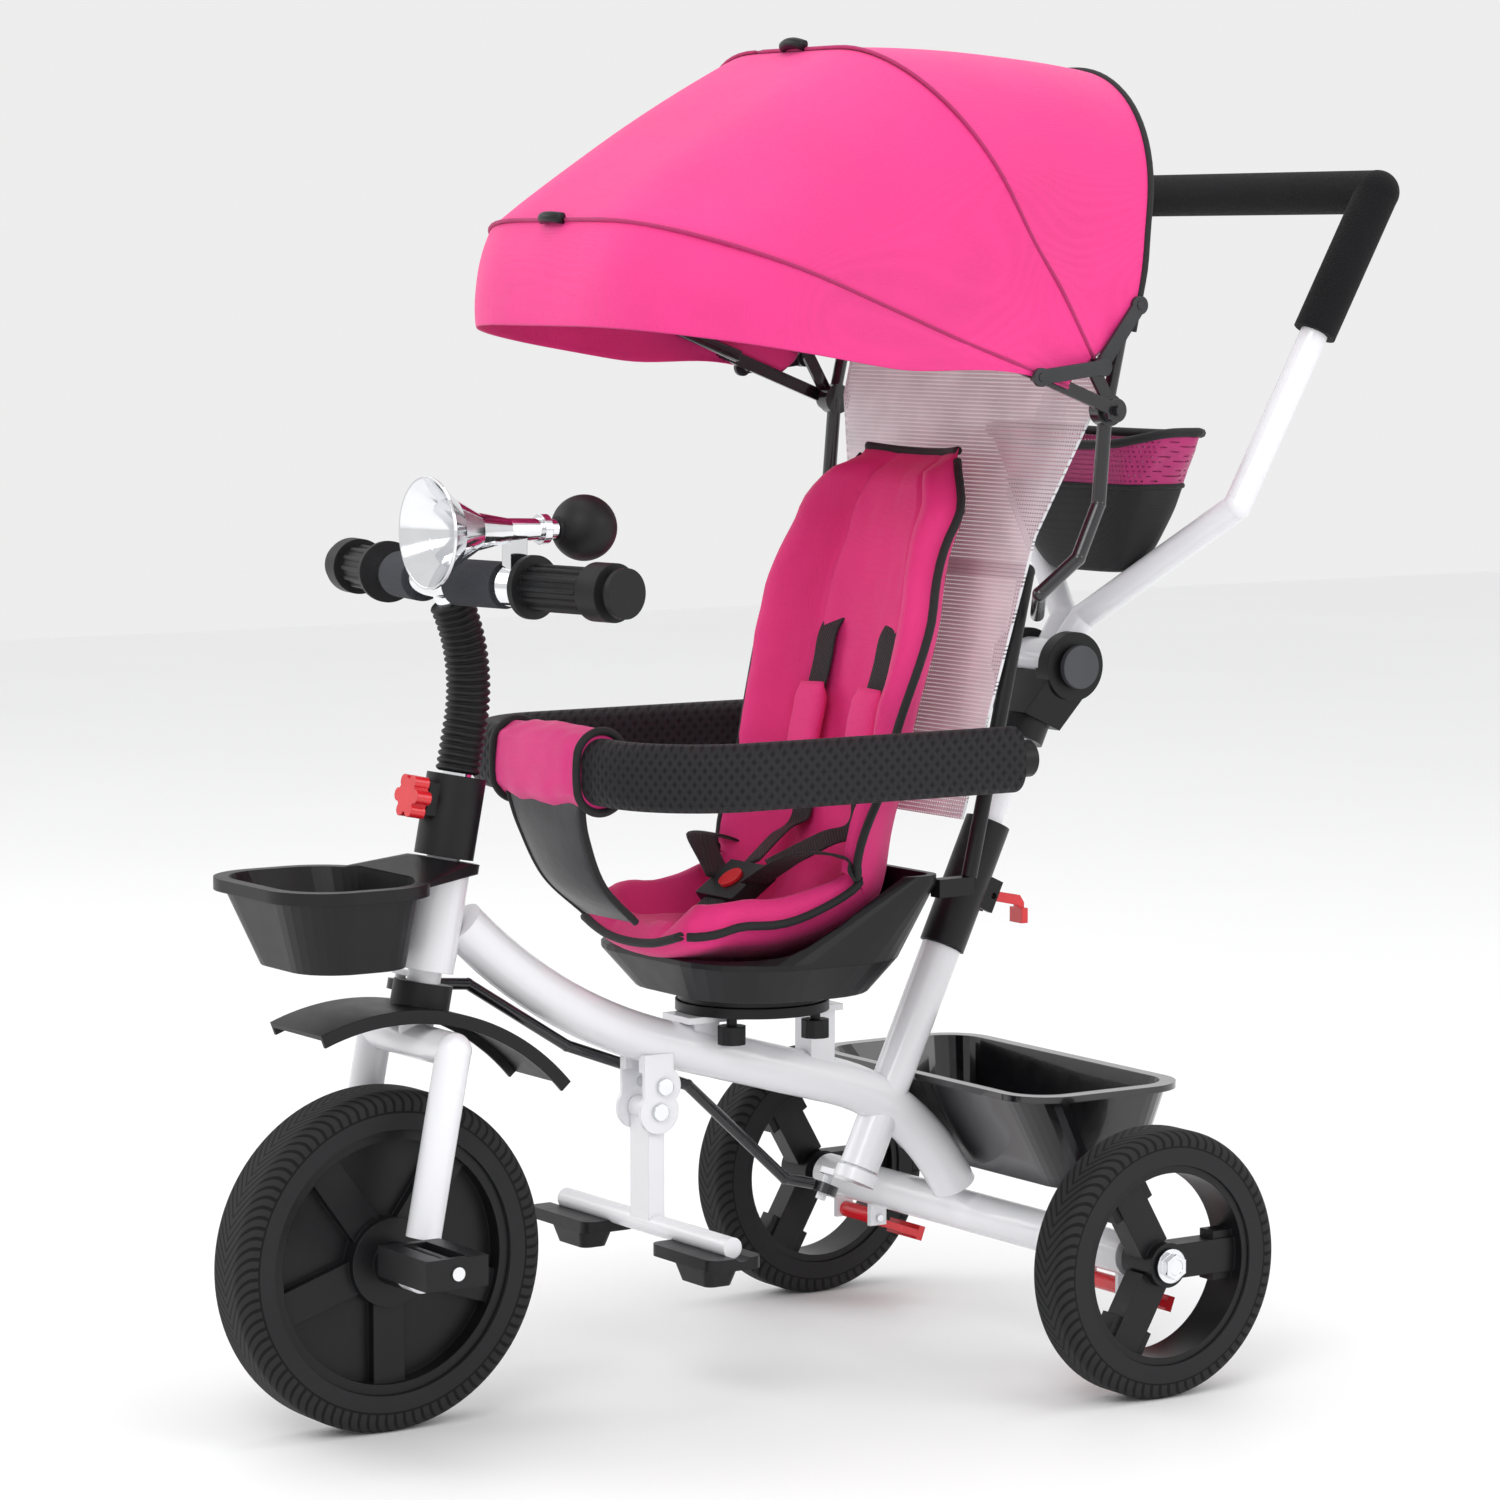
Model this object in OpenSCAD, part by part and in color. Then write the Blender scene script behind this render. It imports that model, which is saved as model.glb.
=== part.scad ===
// Children's tricycle with a push bar, a turning seat and a folding canopy.
// The front faces -Y, +X is the rider's left, and the wheels stand on z = 0.

/* [Wheels] */
// Radius of the front tyre
front_r = 126; // [120:1:130]
// Width of the front tyre
front_w = 48; // [44:1:50]
// Radius of the rear tyres
rear_r = 102; // [98:1:104]
// Width of the rear tyres
rear_w = 40; // [36:1:42]
// Distance between the front and rear axles
wheelbase = 537; // [532:1:545]
// Distance between the middles of the rear tyres
track = 461; // [455:1:470]

/* [Steering] */
// Backward lean of the steering axis, in degrees
steer_lean = 11; // [10:0.5:12]
// Distance from the middle plane to the end of the handlebar
bar_half = 196; // [185:1:205]
// Height of the handlebar
bar_z = 620; // [615:1:625]
// Distance of the fork legs from the middle plane
leg_x = 58; // [56:1:60]

/* [Frame] */
// Radius of the main tube
tube_r = 18; // [16:0.5:19]
// Backward lean of the push bar, in degrees
push_lean = 25; // [24:0.5:26]

/* [Seat] */
// Height of the gap between the two turntable discs
table_z = 291; // [289:1:292]
// Backward lean of the seat back, in degrees
seat_lean = 13; // [12:0.5:14]
// Distance from the middle plane to the guard ring's tube
ring_x = 150; // [145:1:152]

/* [Canopy] */
// Half the width of the canopy bows
bow_w = 180; // [176:1:182]
// Length of the rear, middle and front bows from their pivot
bow_len = [255, 304, 388];
// Slope of the rear, middle and front bows above the rearward horizontal
bow_ang = [77, 120.6, 159.2];

/* [Push handle] */
// Distance from the middle plane to the handle's legs at the top
handle_x = 155; // [150:1:158]
// Height of the handle's crossbar
handle_z = 904; // [890:1:915]

/* [Hidden] */
$fn = 48;

white = "white";
black = "#1c1c20";
pink = "#f0409c";
chrome = "silver";
red = "#e0202c";

gap = 0.5;          // clearance between parts that turn past each other
run = 0.06;         // radial clearance of a shaft in its bore
foam_r = 17;        // handle foam
handle_y = 808;     // the push handle's crossbar
y_mid = (handle_y + foam_r - front_r) / 2;

// Steering axis: through the front axle, leaning back
hub = [0, 0, front_r];
function steer(d) = hub + d * [0, sin(steer_lean), cos(steer_lean)];
crown_d = 161;
head_low = 213;
head_high = 286;
clamp_low = 297;
clamp_high = 357;
steerer_r = 12.5;

// Push-bar axis: through the bottom of its socket, leaning back
push_base = [0, 418, 131];
function push(d) = push_base + d * [0, sin(push_lean), cos(push_lean)];
socket_low = 20;
socket_high = 205;
sleeve_high = 310;
stem_r = 12.5;
push_r = 11;
knuckle_d = 445;
knuckle_p = push(knuckle_d);
arm_x = -34;        // offset of the steering rod from both axes

// Main tube: an arc from the head tube, a straight, and an arc to the cross tube
top_R = 404;
top_a0 = 45.5;
slope = 15.5;
top_start = [0, 70, 368];
top_c = top_start + top_R * [0, sin(top_a0), cos(top_a0)];
mid_a = top_c - top_R * [0, sin(slope), cos(slope)];
mid_b = [0, 400, mid_a.z - (400 - mid_a.y) * tan(slope)];
drop_R = 190;
drop_c = mid_b - drop_R * [0, sin(slope), cos(slope)];
drop_end = 62;
axle = [0, wheelbase, rear_r];
axle_r = 6;
cross_r = 16;
cross_half = track / 2 - rear_w / 2 - 7;

// Seat
seat_c = [0, 327, 0];
disc_r = 59;
knob_front = [28, 290, 0];
knob_rear = [34, 362, 0];
// Canopy pivots, and the back plane that the rear bow stands in
pivot = [0, 525, 740];
back_o = pivot - 340 * [0, tan(seat_lean), 1];
bow_r = 5;
skin = 1.6;
corner = 130;       // corner radius of the bows
bow_from = 100;     // the folding bows are flat strips up to here
brace_p = 80;       // distance of the brace pins from the canopy pivot
brace_l = 58;       // length of each brace link
ring_z = 479;
ring_front = 155;
ring_back = 462;
ring_corner = 70;

// Crank and pedals
crank_y = -24;
crank_z = 18;
pedal_in = 87;
pedal_out = 157;

// Footrest
rest_p = [0, 232, 214];
rest_z = 127;

// Push handle
leg_a = [12, knuckle_p.y + 26, knuckle_p.z + 36];
leg_b = [140, 683, 662];
leg_c = [handle_x, handle_y, handle_z];
leg_r = 11;

module at() translate([0, -y_mid, 0]) children();

// A rounded elbow where two rods of radius r meet
module elbow(p, r) translate(p) sphere(r = r + 0.25);

module rod(a, b, r) {
  v = b - a;
  l = norm(v);
  translate(a) rotate([0, acos(v.z / l), atan2(v.y, v.x)]) cylinder(h = l, r = r);
}

// A box standing on the line from a to b in the Y-Z plane
module bar_yz(a, b, wide, thick) {
  v = b - a;
  l = norm(v);
  translate(a) rotate([-atan2(v.y, v.z), 0, 0])
    translate([-wide / 2, -thick / 2, 0]) cube([wide, thick, l]);
}

// Places children with their z axis along a backward-leaning axis
module on(p, lean) translate(p) rotate([-lean, 0, 0]) children();

// A tube arc in the Y-Z plane; angles are counted from +Y towards +Z
module arc_yz(c, R, a0, a1, r, bore = 0)
  translate(c) rotate([90, 0, 90]) rotate([0, 0, a0])
    rotate_extrude(angle = a1 - a0) translate([R, 0]) difference() {
      circle(r = r);
      if (bore > 0) circle(r = bore);
    }

// A cylinder along X, from x0 to x1 at y, z
module along_x(p, x0, x1, r) translate([x0, p.y, p.z]) rotate([0, 90, 0]) cylinder(h = x1 - x0, r = r);

module both() {
  children();
  mirror([1, 0, 0]) children();
}

module ring(h, r, bore) difference() {
  cylinder(h = h, r = r);
  translate([0, 0, -1]) cylinder(h = h + 2, r = bore);
}

module rounded(w, l, r) {
  square([w - 2 * r, l], center = true);
  square([w, l - 2 * r], center = true);
  for (x = [-1, 1], y = [-1, 1]) translate([x * (w / 2 - r), y * (l / 2 - r)]) circle(r = r);
}

// A thin rounded plate, used as an end of a hull
module plate(x, y, z, w, l, r, h = 1) translate([x, y, z]) linear_extrude(h) rounded(w, l, r, $fn = 32);

// ---- Frame ----

module main_frame() color(white) at() difference() {
  union() {
    on(steer(head_low), steer_lean) cylinder(h = head_high - head_low, r = 21);
    arc_yz(top_c, top_R, -90 - top_a0, -90 - slope, tube_r);
    rod(mid_a, mid_b, tube_r);
    arc_yz(drop_c, drop_R, 90 - slope, 90 - drop_end, tube_r);
    along_x(axle, -cross_half, cross_half, cross_r);
    on(push(socket_low), push_lean) cylinder(h = socket_high - socket_low, r = 15.5);
    // seat posts and the plate they carry
    translate([-11, 374, 222]) cube([22, 22, 56]);
    translate([-11, 268, 250]) cube([22, 22, 28]);
    difference() {
      translate([-19, 258, table_z - 13]) cube([38, 140, 5]);
      translate([0, 327, table_z - 20]) cylinder(h = 20, r = 10);
    }
    // brake lugs
    both() for (x = [139, 187]) translate([x, wheelbase - 3, rear_r - 34]) cube([4, 16, 24]);
  }
  on(steer(head_low - 1), steer_lean) cylinder(h = head_high - head_low + 2, r = 16);
  on(push(socket_low - 12), push_lean) cylinder(h = socket_high - socket_low + 30, r = stem_r + run);
  along_x(axle, -cross_half - 1, cross_half + 1, axle_r);
  along_x([0, wheelbase + 6, rear_r - 28], -200, 200, 3);
}

module head_bearings() color(chrome) at() {
  for (d = [head_low, head_high - 9]) on(steer(d), steer_lean) ring(9, 16, steerer_r + run);
}

module rear_axle() color(chrome) at() along_x(axle, -track / 2 - 27, track / 2 + 27, axle_r);

module fasteners() color(chrome) at() {
  // axle nuts with their washers
  both() translate([track / 2 + 20, wheelbase, rear_r]) rotate([0, 90, 0]) {
    ring(1.5, 13, axle_r);
    translate([0, 0, 1.5]) difference() {
      cylinder(h = 6, r = 10, $fn = 6);
      translate([0, 0, -1]) cylinder(h = 8, r = axle_r);
    }
  }
  // footrest hinge bolt and lock bolt
  for (p = [rest_p, rest_p + [0, 4, 19]]) {
    along_x(p, -18, 18, 4);
    along_x(p, 18, 21, 6.5);
    along_x(p, -21, -18, 6.5);
  }
  // brake hinge pins
  both() along_x([0, wheelbase + 6, rear_r - 28], 137, 193, 3);
}

module rear_bucket() color(black) at() difference() {
  union() {
    hull() {
      plate(0, 556, 214, 296, 146, 34);
      plate(0, 576, 138, 250, 78, 30);
    }
    plate(0, 557, 214, 312, 158, 40, 5);
  }
  hull() {
    plate(0, 556, 219, 288, 138, 31);
    plate(0, 576, 142, 243, 71, 27);
  }
}

module turntable_base() color(black) at() difference() {
  translate(seat_c) translate([0, 0, table_z - 8]) ring(8 - gap / 2, disc_r, 9 + run);
  for (p = [knob_front, knob_rear]) translate(p) translate([0, 0, table_z - 20]) cylinder(h = 30, r = 4 + run);
}

module footrest_bracket() color(white) at() both() difference() {
  union() {
    along_x(rest_p, 14, 17.5, 17);
    along_x(rest_p + [0, 4, 19], 14, 17.5, 15);
    translate([14, 219, 214]) cube([3.5, 26, 34]);
    translate([9, 219, 244]) cube([8.5, 26, 14]);
  }
  arc_yz(top_c, top_R, -90 - top_a0, -90 - slope, tube_r);
  rod(mid_a, mid_b, tube_r);
  along_x(rest_p, 10, 20, 4);
  along_x(rest_p + [0, 4, 19], 10, 20, 4);
}

module seat_knob(p) color(black) at() translate([p.x, p.y, table_z - 21]) {
  cylinder(h = 20, r = 4);
  translate([0, 0, -8]) cylinder(h = 14, r = 11, $fn = 10);
}

module seat_knob_front() seat_knob(knob_front);

module seat_knob_rear() seat_knob(knob_rear);

// ---- Steering ----

module fork() color(white) at() difference() {
  union() {
    both() rod([leg_x, steer(24).y, steer(24).z], [leg_x, steer(crown_d).y, steer(crown_d).z], 13);
    both() along_x(hub, leg_x - 8, leg_x + 8, 15);
    both() elbow(steer(crown_d) + [leg_x, 0, 0], 13);
    along_x(steer(crown_d), -leg_x, leg_x, 13);
    on(steer(crown_d), steer_lean) cylinder(h = 345 - crown_d, r = steerer_r);
    // arm and pin of the steering rod
    on(steer(206), steer_lean) {
      translate([arm_x, -7, 0]) cube([-arm_x, 14, 4]);
      translate([arm_x, 0, 0]) cylinder(h = 4, r = 7);
      translate([arm_x, 0, -16]) cylinder(h = 17, r = 4);
    }
  }
  along_x(hub, -leg_x - 20, leg_x + 20, axle_r + run);
}

module fender() color(black) at() difference() {
  union() {
    translate(hub) rotate([90, 0, 90]) rotate([0, 0, 41]) rotate_extrude(angle = 70) {
      translate([183, -39]) square([4, 78]);
      for (y = [-39, 36]) translate([177, y]) square([7, 3]);
    }
    on(steer(185), steer_lean) cylinder(h = 19, r = 22);
  }
  on(steer(180), steer_lean) cylinder(h = 30, r = steerer_r);
}

module front_basket() color(black) at() difference() {
  union() {
    hull() {
      plate(0, -45, 401, 152, 112, 42);
      plate(0, -36, 345, 108, 88, 34);
    }
    plate(0, -45, 399, 166, 126, 48, 9);
    hull() {
      on(steer(288), steer_lean) cylinder(h = 7, r = 27, $fn = 32);
      plate(0, 8, 404, 120, 10, 5, 4);
    }
  }
  hull() {
    plate(0, -45, 409, 146, 106, 39);
    plate(0, -36, 348, 102, 82, 31);
  }
  on(steer(280), steer_lean) cylinder(h = 20, r = steerer_r);
  on(steer(200), steer_lean) cylinder(h = 287.3 - 200, r = 23);
}

module stem_clamp() color(black) at() difference() {
  union() {
    on(steer(clamp_low), steer_lean) cylinder(h = clamp_high - clamp_low, r = 22);
    on(steer(clamp_low + 28), steer_lean) translate([-11, -27, 0]) cube([22, 20, 24]);
  }
  on(steer(clamp_low - 1), steer_lean) cylinder(h = clamp_high - clamp_low + 2, r = steerer_r);
  on(steer(clamp_low + 40), steer_lean) rotate([90, 0, 0]) cylinder(h = 40, r = 4 + run);
}

module stem_knob() color(red) at() on(steer(clamp_low + 40), steer_lean) rotate([90, 0, 0]) {
  translate([0, 0, 15]) cylinder(h = 14, r = 4);
  translate([0, 0, 27.5]) {
    cylinder(h = 12, r = 12);
    for (k = [0:5]) rotate([0, 0, k * 60]) translate([12, 0, 0]) cylinder(h = 12, r = 5);
  }
}

stem_a = steer(396);
stem_R = 143;
neck_r = 10.4;
stem_c = stem_a + stem_R * [0, -cos(steer_lean), sin(steer_lean)];
stem_end = asin((bar_z - stem_c.z) / stem_R);
stem_top = stem_c + stem_R * [0, cos(stem_end), sin(stem_end)];
bar_c = stem_top;
bar_sweep = 33;
bar_flat = 22;
bar_ang = atan(bar_sweep / (bar_half - bar_flat));

// Places children with z along the swept bar, at distance x from the middle plane
module on_bar(x) translate([bar_flat, bar_c.y, bar_z]) rotate([0, 0, bar_ang]) rotate([0, 90, 0])
  translate([0, 0, (x - bar_flat) / cos(bar_ang)]) children();

module handlebar() color(chrome) at() {
  rod(steer(346), steer(397.5), neck_r + 0.3);
  arc_yz(stem_c, stem_R, -steer_lean - 1, stem_end, neck_r);
  translate([bar_flat + 2, bar_c.y, bar_z]) rotate([0, -90, 0]) cylinder(h = 2 * bar_flat + 4, r = 12.6);
  both() {
    on_bar(bar_flat - 8) cylinder(h = (bar_half - bar_flat + 8) / cos(bar_ang), r = 11);
  }
}

module stem_sleeve() color(black) at() {
  difference() {
    union() {
      on(steer(clamp_high + 1), steer_lean) cylinder(h = 396 - clamp_high - 1, r = 13.2);
      for (k = [0:6]) on(steer(clamp_high + 2 + k * 5.4), steer_lean) cylinder(h = 3, r = 16);
    }
    on(steer(clamp_high), steer_lean) cylinder(h = 41, r = 11);
  }
  arc_yz(stem_c, stem_R, -steer_lean, stem_end - 6, 14.5, 11.3);
}

module bar_foam() color("#55565e") at() both() on_bar(26) ring(52, 17, 11);

module grips() color(black) at() both() {
  on_bar(103) ring(5, 23, 11);
  on_bar(107) difference() {
    union() {
      cylinder(h = 66, r = 15);
      for (k = [0:11]) rotate([0, 0, k * 30]) translate([15, 0, 0]) cylinder(h = 60, r = 2);
    }
    translate([0, 0, -1]) cylinder(h = 68, r = 11);
  }
  on_bar(171) ring(20, 21, 11);
  on_bar(bar_half + 1) cylinder(h = 5, r = 18);
}

horn_x = 88;
horn_z = bar_z + 40;
module horn_bell() color(chrome) at() difference() {
  union() {
    translate([horn_x, 100, horn_z]) rotate([90, 0, 0]) rotate_extrude() polygon([
      [0, 0], [7, 0], [7, 8], [11, 8], [11, 14], [8, 14], [9, 40], [14, 66], [26, 88], [40, 104],
      [40, 106], [38.5, 106], [24, 90], [12, 68], [6, 40], [0, 34]]);
    on_bar(horn_x - 7) ring(14, 15, 11);
    translate([horn_x - 6, bar_c.y + 4, bar_z + 12]) cube([12, 14, 22]);
  }
  translate([horn_x, 101, horn_z]) rotate([90, 0, 0]) cylinder(h = 6, r = 3);
}

module horn_bulb() color(black) at() {
  translate([horn_x, 124, horn_z]) sphere(r = 24);
  translate([horn_x, 110, horn_z]) rotate([90, 0, 0]) cylinder(h = 10 - gap, r = 9);
}

// ---- Wheels, crank and brakes ----

module tyre(R, w, r_in, r_edge) rotate([0, 90, 0]) rotate_extrude($fn = 96) {
  translate([r_in, -w / 2]) square([R - r_in - r_edge, w]);
  translate([r_in, -w / 2 + r_edge]) square([R - r_in, w - 2 * r_edge]);
  for (y = [-1, 1]) translate([R - r_edge, y * (w / 2 - r_edge)]) circle(r = r_edge);
}

module front_tyre() color(black) at() translate(hub) tyre(front_r, front_w, 98, 10);

module front_rim() color(black) at() translate(hub) rotate([0, 90, 0]) difference() {
  union() {
    rotate_extrude($fn = 96) {
      translate([90, -21]) square([8, 42]);
      translate([0, -7]) square([92, 14]);
      translate([0, -21]) square([33, 42]);
      translate([0, -leg_x + 9]) square([16, 2 * leg_x - 18]);
    }
    for (k = [0:4]) rotate([0, 0, k * 72]) translate([30, -13, -15]) cube([62, 26, 30]);
  }
  translate([0, 0, -80]) cylinder(h = 160, r = axle_r + run);
}

module crankset() color(chrome) at() {
  along_x(hub, -83, 83, axle_r);
  for (s = [-1, 1]) {
    p = hub + s * [0, crank_y, crank_z];
    x = s > 0 ? 75 : -83;
    along_x(hub, x, x + 8, 10);
    along_x(p, x, x + 8, 8);
    difference() {
      bar_yz([x + 4, hub.y, hub.z], [x + 4, p.y, p.z], 8, 14);
    }
    along_x(p, s > 0 ? 80 : -pedal_out - 2, s > 0 ? pedal_out + 2 : -80, 5);
  }
}

module pedal(s) color(black) at() translate([s * (pedal_in + pedal_out) / 2, s * crank_y, front_r + s * crank_z])
  difference() {
    union() {
      rotate([0, 90, 0]) cylinder(h = pedal_out - pedal_in - 6, r = 9, center = true);
      for (y = [-1, 1]) translate([-35, y * 18 - 7, -11]) cube([70, 14, 22]);
      for (x = [-35, 29]) translate([x, -22, -11]) cube([6, 44, 22]);
    }
    rotate([0, 90, 0]) cylinder(h = 90, r = 5 + run, center = true);
  }

module pedal_left() pedal(1);

module pedal_right() pedal(-1);

module rear_tyre(s) color(black) at() translate([s * track / 2, wheelbase, rear_r]) tyre(rear_r, rear_w, 76, 9);

module rear_tyre_left() rear_tyre(1);

module rear_tyre_right() rear_tyre(-1);

module rear_rim(s) color(black) at() translate([s * track / 2, wheelbase, rear_r]) rotate([0, 90, 0]) difference() {
  union() {
    rotate_extrude($fn = 96) {
      translate([70, -18]) square([6, 36]);
      translate([0, -18]) square([17, 36]);
    }
    for (k = [0:2]) rotate([0, 0, k * 120 + 90]) {
      translate([14, -13, -10]) cube([58, 26, 20]);
      translate([50, -19, -8]) cube([20, 38, 16]);
    }
  }
  translate([0, 0, -30]) cylinder(h = 60, r = axle_r + run);
}

module rear_rim_left() rear_rim(1);

module rear_rim_right() rear_rim(-1);

module brake(s) color(red) at() translate([s * 165, wheelbase + 6, rear_r - 28]) difference() {
  union() {
    rotate([0, 90, 0]) cylinder(h = 43, r = 6.5, center = true);
    translate([-21, 2, -7]) rotate([-20, 0, 0]) cube([42, 44, 6]);
    translate([-21, 40, -23]) rotate([-20, 0, 0]) cube([42, 6, 12]);
  }
  rotate([0, 90, 0]) cylinder(h = 60, r = 3 + run, center = true);
}

module brake_left() brake(1);

module brake_right() brake(-1);

// ---- Push bar ----

module push_stem() color(white) at() {
  on(push(8), push_lean) difference() {
    union() {
      cylinder(h = sleeve_high - 8, r = stem_r);
      cylinder(h = 10, r = 17);
      translate([arm_x, -8, 0]) cube([-arm_x, 16, 5]);
      translate([arm_x, 0, 0]) cylinder(h = 5, r = 8);
      translate([arm_x, 0, -20]) cylinder(h = 21, r = 4);
    }
    translate([0, 0, 6]) cylinder(h = sleeve_high, r = push_r + run);
  }
}

module push_sleeve() color(black) at() on(push(socket_high + gap), push_lean) difference() {
  union() {
    cylinder(h = sleeve_high - socket_high - gap, r = 18);
    translate([-9, 12, 39]) cube([18, 16, 26]);
  }
  translate([0, 0, -1]) cylinder(h = 120, r = stem_r);
  translate([-3.4, 17.5, 35]) cube([6.8, 14, 34]);
  translate([-20, 24, 52]) rotate([0, 90, 0]) cylinder(h = 40, r = 2.5);
}

lever_p = push(socket_high + gap + 52) + 24 * [0, cos(push_lean), -sin(push_lean)];
module height_lever() color(red) at() translate([-3, lever_p.y, lever_p.z]) rotate([90, 0, 90]) difference() {
  union() {
    linear_extrude(6) {
      circle(r = 5);
      polygon([[0, 4], [30, -2], [34, -8], [34, -22], [28, -22], [28, -10], [0, -4]]);
    }
    translate([28, -24, -5]) cube([6, 12, 16]);
  }
  translate([0, 0, -1]) cylinder(h = 8, r = 2.5 + run);
}

module push_tube() color(white) at() on(push(90), push_lean) cylinder(h = knuckle_d - 90 - 24, r = push_r);

// The knuckle's cheeks carry the handle's hub between them
module knuckle() color(black) at() difference() {
  union() {
    on(push(knuckle_d - 64), push_lean) cylinder(h = 22, r = 19);
    on(push(knuckle_d), push_lean) rotate([90, 0, 0]) linear_extrude(38, center = true)
      polygon([[-21, -48], [21, -48], [36, -18], [36, 6], [-36, 6], [-36, -18]]);
    both() along_x(knuckle_p, 21, 37, 27);
  }
  on(push(knuckle_d - 70), push_lean) cylinder(h = 47, r = push_r);
  along_x(knuckle_p, -24, 24, 21);
  on(push(knuckle_d), push_lean) translate([-24, -50, -12]) cube([48, 100, 90]);
  along_x(knuckle_p, -50, 50, 8 + run);
}

module tilt_button() color("#3a3b42") at() {
  along_x(knuckle_p, 28, 42, 8);
  along_x(knuckle_p, 40, 45, 17);
}

module push_handle() color(white) at() {
  difference() {
    along_x(knuckle_p, -23.5, 23.5, 20);
    along_x(knuckle_p, 20, 40, 9);
  }
  both() {
    rod([8, knuckle_p.y + 6, knuckle_p.z + 9], leg_a, leg_r);
    elbow(leg_a, leg_r);
    rod(leg_a, leg_b, leg_r);
    elbow(leg_b, leg_r);
    rod(leg_b, leg_c, leg_r);
    elbow(leg_c, leg_r);
  }
  along_x(leg_c, -handle_x, handle_x, leg_r);
}

module handle_foam() color(black) at() {
  difference() {
    union() {
      both() {
        rod(leg_b + 0.55 * (leg_c - leg_b), leg_c, foam_r);
        elbow(leg_c, foam_r);
      }
      along_x(leg_c, -handle_x, handle_x, foam_r);
    }
    both() {
      rod(leg_b, leg_c, leg_r);
      elbow(leg_c, leg_r);
    }
    along_x(leg_c, -handle_x, handle_x, leg_r);
  }
}

module parent_bag() color(black) at() difference() {
  hull() {
    plate(0, 651, 724, 228, 76, 20);
    plate(0, 636, 606, 66, 22, 10);
  }
  hull() {
    plate(0, 651, 725, 222, 70, 17);
    plate(0, 636, 610, 60, 16, 7);
  }
}

rod_front = steer(198) + [arm_x, 0, 0];
rod_rear = push(-3) + [arm_x, 0, 0];
rod_route = [
  rod_front + [0, 9, 0], [arm_x, 96, 316], [arm_x, 182, 262], [arm_x, 290, 222],
  [arm_x, 380, 140], rod_rear + [0, -11, 5]];
module steering_rod() color(black) at() {
  on(rod_front, steer_lean) translate([0, 0, -4]) ring(8, 9, 4 + run);
  on(rod_rear, push_lean) translate([0, 0, -4]) ring(8, 11, 6.2);
  for (k = [0:4]) rod(rod_route[k], rod_route[k + 1], 4.5);
  for (k = [1:4]) elbow(rod_route[k], 4.5);
}

// ---- Seat ----

module turntable_top() color(black) at() translate(seat_c) {
  translate([0, 0, table_z + gap / 2]) cylinder(h = 9, r = disc_r - 2);
  translate([0, 0, table_z - 12]) cylinder(h = 14, r = 9);
}

shell_z = table_z + gap / 2 + 9;
module seat_shell() color(black) at() {
  difference() {
    hull() {
      plate(0, 326, shell_z, 180, 150, 60);
      plate(0, 324, shell_z + 28, 232, 184, 70, 4);
      plate(0, 408, shell_z + 84, 224, 40, 18, 6);
    }
    hull() {
      plate(0, 326, shell_z + 5, 170, 140, 55);
      plate(0, 324, shell_z + 29, 222, 174, 65, 30);
      plate(0, 406, shell_z + 85, 212, 32, 14, 8);
    }
  }
  // back frame behind the mesh
  both() back() translate([104, 12, -12]) cylinder(h = 236, r = 6);
  back() translate([0, 12, 224]) rotate([0, 90, 0]) cylinder(h = 208, r = 6, center = true);
  back() for (x = [-104, 104]) elbow([x, 12, 224], 6);
  both() translate([98, 424, shell_z + 72]) cube([12, 32, 14]);
  both() {
    spigot(8, 40);
    translate([ring_x, ring_back + gap, ring_z]) rotate([-90, 0, 0]) cylinder(h = 14, r = 14);
    along_x([0, ring_back + 15, ring_z], 100, ring_x, 7);
  }
}

// Local frame of the seat back: x sideways, y out of its back, z up along it
module back() translate(back_o) rotate([-seat_lean, 0, 0]) children();

module seat_pad() color(pink) at() {
  hull() {
    plate(0, 320, shell_z + 8, 128, 110, 40);
    plate(0, 318, shell_z + 38, 190, 144, 50);
  }
  back() hull() {
    translate([0, -45, 0]) cube([184, 24, 20], center = true);
    translate([0, -26, 150]) cube([232, 42, 20], center = true);
    translate([0, -22, 200]) cube([206, 36, 20], center = true);
    translate([0, -20, 304]) cube([124, 26, 8], center = true);
  }
}

module back_mesh() color(white) at() back() rotate([90, 0, 0]) linear_extrude(2.4, center = true) {
  polygon([[-98, 30], [98, 30], [122, 250], [166, 352], [166, 430], [120, 560], [-120, 560],
    [-166, 430], [-166, 352], [-122, 250]]);
}

module strap(a, b, w = 24, t = 2) hull() {
  translate(a) cube([w, t, t], center = true);
  translate(b) cube([w, t, t], center = true);
}

buckle_p = [0, 312, 378];
module harness() color(black) at() {
  both() {
    strap([62, 441, 640], [50, 404, 560]);
    strap([36, 346, 420], [18, 332, 404], 18);
    strap([112, 340, 402], [32, 316, 380], 4, 22);
  }
  strap([0, 262, 352], [0, 288, 370], 30);
}

module shoulder_pads() color(pink) at() both() strap([50, 396, 548], [38, 350, 428], 34, 10);

module buckle() color(black) at() translate(buckle_p) rotate([35, 0, 0]) difference() {
  translate([-25, -20, -7]) cube([50, 40, 14]);
  translate([0, 0, -1]) cylinder(h = 12, r = 10);
}

module buckle_button() color(red) at() translate(buckle_p) rotate([35, 0, 0]) translate([0, 0, 2.5]) cylinder(h = 7, r = 10 - run);

// ---- Canopy ----

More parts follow.
